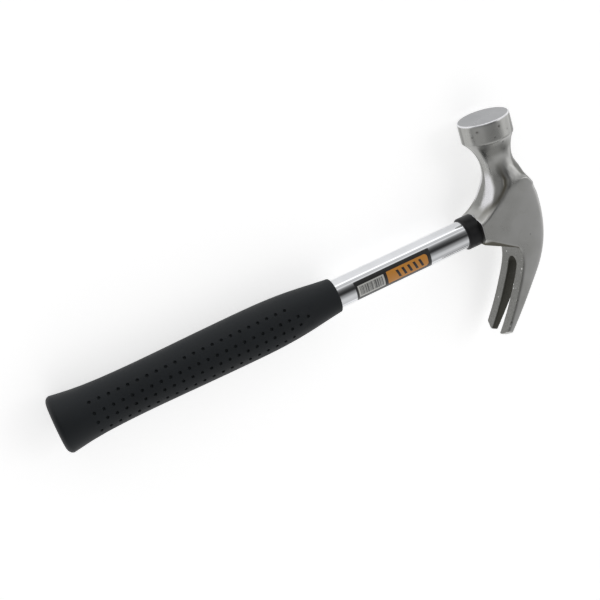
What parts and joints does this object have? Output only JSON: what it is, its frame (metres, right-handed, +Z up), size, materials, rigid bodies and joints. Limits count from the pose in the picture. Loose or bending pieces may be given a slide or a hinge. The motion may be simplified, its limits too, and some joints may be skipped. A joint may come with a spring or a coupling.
{
  "type": "claw hammer",
  "caption": "Claw hammer with a forged steel head, curved slotted claws, a chromed tubular shaft, a plastic collar and a dimpled rubber grip.",
  "frame": {"origin": "centre of the striking face", "axes": "+X runs along the handle from the butt toward the head, +Y points out of the striking face, +Z is up when the hammer lies on its side; the XY plane is the plane of symmetry"},
  "size_m": [0.2848, 0.1236, 0.0312],
  "materials": {
    "forged_steel": "forged, belt-ground and lacquered, satin, with a polished face rim",
    "chromed_steel": "bright chrome plate on drawn tube",
    "plug_steel": "bare steel ground flush with the crown",
    "collar_plastic": "moulded black plastic, low sheen",
    "grip_rubber": "soft black rubber, fine matt texture, rows of small dimples",
    "label_film": "thin printed film, black with an amber field and a pale field"
  },
  "bodies": {
    "root": {"head": "forged_steel", "shaft_tube": "chromed_steel", "expansion_plug": "plug_steel", "collar": "collar_plastic", "grip": "grip_rubber", "label": "label_film"}
  },
  "joints": []
}
